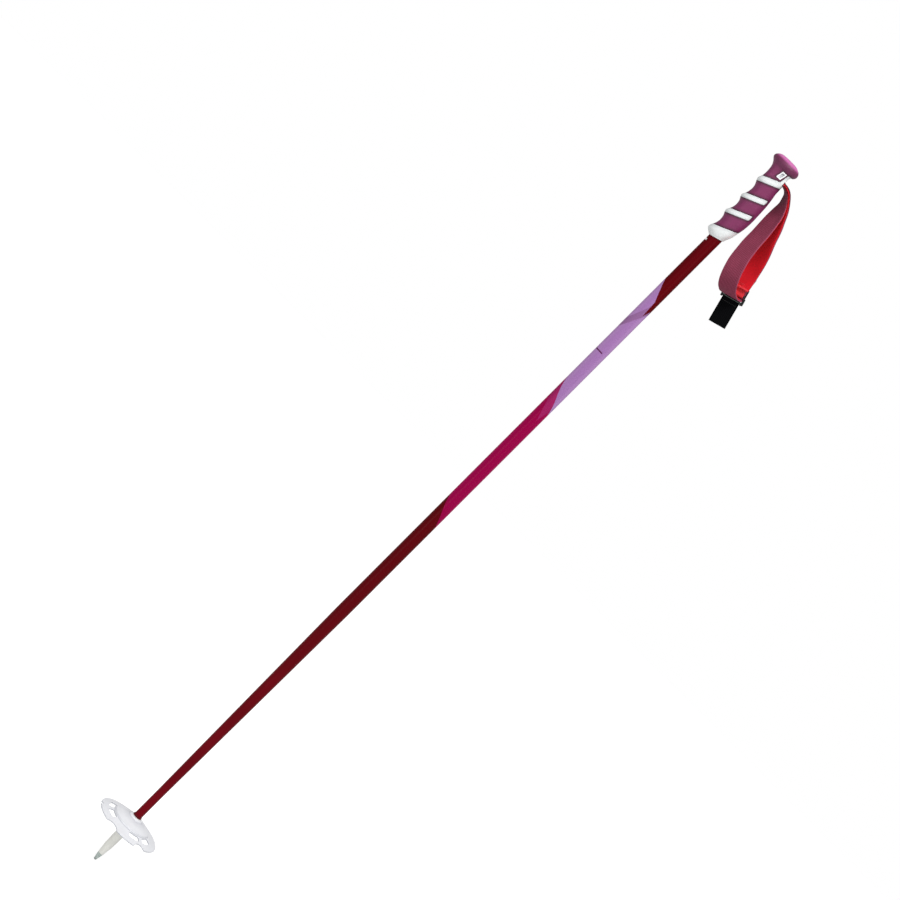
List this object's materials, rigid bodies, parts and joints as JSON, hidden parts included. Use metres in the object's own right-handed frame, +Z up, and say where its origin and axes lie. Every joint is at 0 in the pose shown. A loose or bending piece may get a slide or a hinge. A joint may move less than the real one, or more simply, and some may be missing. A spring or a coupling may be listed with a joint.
{
  "type": "ski pole",
  "caption": "Alpine ski pole: tapered aluminium shaft, steel tip in a plastic ferrule, round snow basket, two-material finger grip and an adjustable lined wrist strap with slider and pull tab.",
  "frame": {"origin": "the end of the steel tip, on the shaft's axis", "axes": "+Z up the shaft from tip to grip; -X to the side of the finger ridges; +X to the palm side, where the strap leaves the grip; Y across the grip"},
  "size_m": [0.1228, 0.086, 1.15],
  "materials": {
    "shaft_paint": "glossy paint on aluminium tube",
    "ring_maroon": "satin",
    "ferrule_grey": "satin",
    "spike_steel": "satin",
    "basket_white": "satin, slightly translucent",
    "grip_white": "satin",
    "grip_soft": "fine matt grain",
    "anchor_white": "satin",
    "strap_mauve": "ribbed webbing",
    "strap_red": "brushed lining",
    "loop_red": "ribbed tape",
    "thread_red": "thread",
    "slider_black": "satin",
    "tab_black": "ribbed webbing",
    "thread_black": "thread"
  },
  "bodies": {
    "pole": {"shaft": "shaft_paint", "stop_ring": "ring_maroon", "ferrule": "ferrule_grey", "tip_spike": "spike_steel", "grip_core": "grip_white", "grip_sleeve": "grip_soft", "grip_cap": "grip_soft", "strap_anchor": "anchor_white", "strap_root": "strap_mauve"},
    "basket": {"basket": "basket_white"},
    "strap": {"strap_webbing": "strap_mauve", "strap_lining": "strap_red", "strap_end_loop": "loop_red", "seam_stitches": "thread_red", "slider_frame": "slider_black"},
    "tab": {"pull_tab": "tab_black", "tab_stitches": "thread_black"}
  },
  "joints": [
    {"name": "basket_spin", "type": "hinge", "parent": "pole", "child": "basket", "pos_m": [0, 0, 0.066], "axis": [0, 0, 1], "continuous": true},
    {"name": "strap_swing", "type": "hinge", "parent": "pole", "child": "strap", "pos_m": [0.0151, 0, 1.1258], "axis": [0, -1, 0], "range_deg": [-6, 100]},
    {"name": "tab_swing", "type": "hinge", "parent": "strap", "child": "tab", "pos_m": [0.06177, 0.0185, 0.99475], "axis": [0.9659, 0, 0.2588], "range_deg": [-85, 110]}
  ]
}
